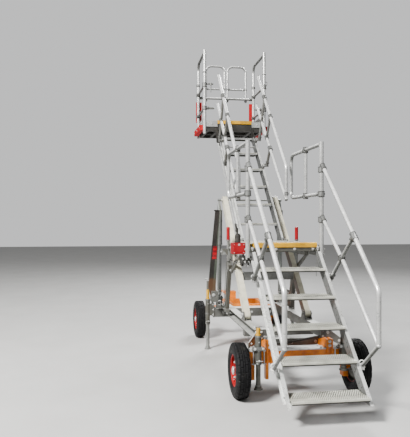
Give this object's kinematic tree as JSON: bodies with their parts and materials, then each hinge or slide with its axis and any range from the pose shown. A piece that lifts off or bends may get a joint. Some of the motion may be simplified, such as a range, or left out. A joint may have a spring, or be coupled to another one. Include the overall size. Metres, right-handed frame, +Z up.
{
  "type": "variable height access platform",
  "caption": "Mobile access platform: fixed stair to a landing, tilting upper stair with level treads on hydraulic lift arms, and a guarded work platform on a wheeled chassis.",
  "frame": {"origin": "on the floor, below the middle of the machine's bounding box", "axes": "+Y the climbing direction, from the foot of the lower stair towards the work platform and drawbar; +X to the climber's right; +Z up"},
  "size_m": [1.3058, 4.8818, 4.262],
  "materials": {
    "galvanised": "hot-dip galvanised steel, dull and mottled",
    "aluminium": "bare aluminium tube, brushed and weathered",
    "tread_metal": "serrated perforated aluminium tread",
    "cream_paint": "cream paint on steel box section",
    "orange_paint": "orange axle paint, worn",
    "yellow_paint": "yellow edge paint",
    "red_paint": "red paint",
    "dark_steel": "dark painted steel",
    "ram_steel": "zinc plated ram steel",
    "tyre": "black tyre rubber",
    "rim_red": "red rim paint",
    "red_rubber": "red buffer rubber"
  },
  "bodies": {
    "base": {"chassis_frame": "galvanised", "front_axle": "orange_paint", "axle_top_plate": "galvanised", "slewing_frame": "orange_paint", "landing_frame": "galvanised", "landing_posts": "red_paint", "landing_deck": "tread_metal", "landing_nosing": "yellow_paint", "lower_stringers": "aluminium", "lower_treads": "tread_metal", "lower_handrail_left": "aluminium", "lower_handrail_right": "aluminium", "landing_guard_left": "aluminium", "landing_guard_right": "aluminium", "pump_box": "red_paint", "hand_pump": "dark_steel", "jack_tubes": "galvanised"},
    "jack_front_left": {"jack_leg_front_left": "galvanised"},
    "jack_front_right": {"jack_leg_front_right": "galvanised"},
    "jack_rear_left": {"jack_leg_rear_left": "galvanised"},
    "jack_rear_right": {"jack_leg_rear_right": "galvanised"},
    "outrigger_left": {"outrigger_left": "galvanised"},
    "wheel_front_left": {"tyre_front_left": "tyre", "rim_front_left": "rim_red"},
    "wheel_front_right": {"tyre_front_right": "tyre", "rim_front_right": "rim_red"},
    "wheel_rear_left": {"tyre_rear_left": "tyre", "rim_rear_left": "rim_red"},
    "wheel_rear_right": {"tyre_rear_right": "tyre", "rim_rear_right": "rim_red"},
    "steered_axle": {"rear_axle": "orange_paint"},
    "drawbar": {"drawbar": "orange_paint"},
    "upper_flight": {"upper_stringers": "aluminium", "flight_tie_bars": "aluminium", "upper_handrail_left": "aluminium", "upper_handrail_right": "aluminium"},
    "levelling_rods": {"levelling_rods": "aluminium"},
    "arms": {"lift_arms": "cream_paint"},
    "ram_barrels": {"ram_barrels": "ram_steel"},
    "ram_rods": {"ram_rods": "ram_steel"},
    "platform": {"platform_frame": "galvanised", "platform_step": "tread_metal", "platform_deck": "tread_metal", "platform_nosing": "yellow_paint", "toe_boards": "aluminium", "platform_guard_left": "aluminium", "platform_guard_right": "aluminium", "rear_guard": "aluminium", "bumpers": "red_rubber"},
    "hoop_left": {"guard_hoop_left": "aluminium"},
    "hoop_right": {"guard_hoop_right": "aluminium"},
    "tread_1": {"upper_tread_1": "tread_metal"},
    "tread_2": {"upper_tread_2": "tread_metal"},
    "tread_3": {"upper_tread_3": "tread_metal"},
    "tread_4": {"upper_tread_4": "tread_metal"},
    "tread_5": {"upper_tread_5": "tread_metal"}
  },
  "joints": [
    {"name": "lift", "type": "hinge", "parent": "base", "child": "upper_flight", "pos_m": [0, -0.1875, 1.4], "axis": [1, 0, 0], "range_deg": [-20, 8]},
    {"name": "arms_lift", "type": "hinge", "parent": "base", "child": "arms", "pos_m": [0, -0.8125, 0.655], "axis": [1, 0, 0], "range_deg": [-11, 5]},
    {"name": "platform_level", "type": "hinge", "parent": "upper_flight", "child": "platform", "pos_m": [0, 1.2762, 2.8637], "axis": [1, 0, 0], "range_deg": [-9, 21]},
    {"name": "rods_swing", "type": "hinge", "parent": "base", "child": "levelling_rods", "pos_m": [0, -0.1875, 1.348], "axis": [1, 0, 0], "range_deg": [-21, 9]},
    {"name": "ram_tilt", "type": "hinge", "parent": "base", "child": "ram_barrels", "pos_m": [0, 0.4725, 0.66], "axis": [1, 0, 0], "range_deg": [-12, 6]},
    {"name": "ram_stroke", "type": "slide", "parent": "ram_barrels", "child": "ram_rods", "axis": [0, 0.0124, 0.9999], "range_m": [-0.23, 0.1]},
    {"name": "tread_level_1", "type": "hinge", "parent": "upper_flight", "child": "tread_1", "pos_m": [0, 0.0925, 1.633], "axis": [1, 0, 0], "range_deg": [-9, 21]},
    {"name": "tread_level_2", "type": "hinge", "parent": "upper_flight", "child": "tread_2", "pos_m": [0, 0.3395, 1.8838], "axis": [1, 0, 0], "range_deg": [-9, 21]},
    {"name": "tread_level_3", "type": "hinge", "parent": "upper_flight", "child": "tread_3", "pos_m": [0, 0.5865, 2.1346], "axis": [1, 0, 0], "range_deg": [-9, 21]},
    {"name": "tread_level_4", "type": "hinge", "parent": "upper_flight", "child": "tread_4", "pos_m": [0, 0.8335, 2.3854], "axis": [1, 0, 0], "range_deg": [-9, 21]},
    {"name": "tread_level_5", "type": "hinge", "parent": "upper_flight", "child": "tread_5", "pos_m": [0, 1.0805, 2.6362], "axis": [1, 0, 0], "range_deg": [-9, 21]},
    {"name": "roll_front_left", "type": "hinge", "parent": "base", "child": "wheel_front_left", "pos_m": [-0.582, -1.5475, 0.2605], "axis": [1, 0, 0], "continuous": true},
    {"name": "roll_front_right", "type": "hinge", "parent": "base", "child": "wheel_front_right", "pos_m": [0.582, -1.5475, 0.2605], "axis": [1, 0, 0], "continuous": true},
    {"name": "roll_rear_left", "type": "hinge", "parent": "steered_axle", "child": "wheel_rear_left", "pos_m": [-0.582, 1.1825, 0.2605], "axis": [1, 0, 0], "continuous": true},
    {"name": "roll_rear_right", "type": "hinge", "parent": "steered_axle", "child": "wheel_rear_right", "pos_m": [0.582, 1.1825, 0.2605], "axis": [1, 0, 0], "continuous": true},
    {"name": "steer", "type": "hinge", "parent": "base", "child": "steered_axle", "pos_m": [0, 1.1825, 0.5], "axis": [0, 0, 1], "range_deg": [-30, 30]},
    {"name": "drawbar_swing", "type": "hinge", "parent": "steered_axle", "child": "drawbar", "pos_m": [0, 1.2745, 0.39], "axis": [1, 0, 0], "range_deg": [-20, 70]},
    {"name": "jack_slide_front_left", "type": "slide", "parent": "base", "child": "jack_front_left", "axis": [0, 0, 1], "range_m": [-0.1, 0.15]},
    {"name": "jack_slide_front_right", "type": "slide", "parent": "base", "child": "jack_front_right", "axis": [0, 0, 1], "range_m": [-0.25, 0]},
    {"name": "jack_slide_rear_left", "type": "slide", "parent": "base", "child": "jack_rear_left", "axis": [0, 0, 1], "range_m": [0, 0.2]},
    {"name": "jack_slide_rear_right", "type": "slide", "parent": "base", "child": "jack_rear_right", "axis": [0, 0, 1], "range_m": [-0.19, 0]},
    {"name": "outrigger_fold_left", "type": "hinge", "parent": "base", "child": "outrigger_left", "pos_m": [-0.53, 0.2925, 0.73], "axis": [0, -1, 0], "range_deg": [0, 130]},
    {"name": "hoop_slide_left", "type": "slide", "parent": "platform", "child": "hoop_left", "axis": [0, 0, 1], "range_m": [-0.11, 0]},
    {"name": "hoop_slide_right", "type": "slide", "parent": "platform", "child": "hoop_right", "axis": [0, 0, 1], "range_m": [-0.11, 0]}
  ],
  "couplings": [
    {"joint": "arms_lift", "follows": "lift", "ratio": 0.484},
    {"joint": "platform_level", "follows": "lift", "ratio": -1},
    {"joint": "rods_swing", "follows": "lift", "ratio": 1},
    {"joint": "ram_tilt", "follows": "lift", "ratio": 0.53},
    {"joint": "ram_stroke", "follows": "lift", "m_per_rad": 0.618},
    {"joint": "tread_level_1", "follows": "lift", "ratio": -1},
    {"joint": "tread_level_2", "follows": "lift", "ratio": -1},
    {"joint": "tread_level_3", "follows": "lift", "ratio": -1},
    {"joint": "tread_level_4", "follows": "lift", "ratio": -1},
    {"joint": "tread_level_5", "follows": "lift", "ratio": -1}
  ]
}
